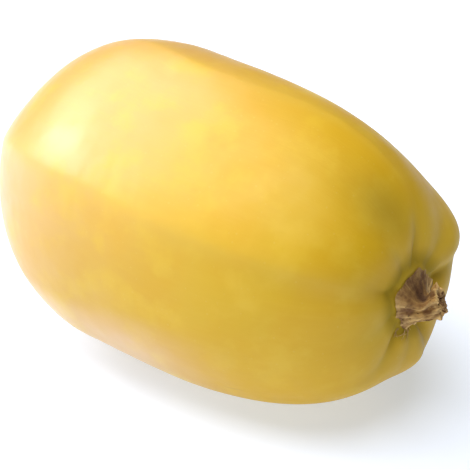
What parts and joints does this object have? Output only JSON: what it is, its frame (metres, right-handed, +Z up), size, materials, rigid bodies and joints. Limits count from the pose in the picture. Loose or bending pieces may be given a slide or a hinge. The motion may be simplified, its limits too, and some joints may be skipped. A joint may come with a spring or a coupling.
{
  "type": "spaghetti squash",
  "caption": "Whole spaghetti squash lying on its side: a long blunt fruit with shallow ribs, creases round the stem, and the dried stub of its stem.",
  "frame": {"origin": "on the surface the squash lies on, under the middle of its bounding box", "axes": "+X along the fruit towards the stem, +Z up"},
  "size_m": [0.224, 0.1406, 0.139],
  "materials": {
    "rind": "satin",
    "dry_stem": "matte"
  },
  "bodies": {
    "root": {"fruit": "rind", "stem": "dry_stem"}
  },
  "joints": []
}
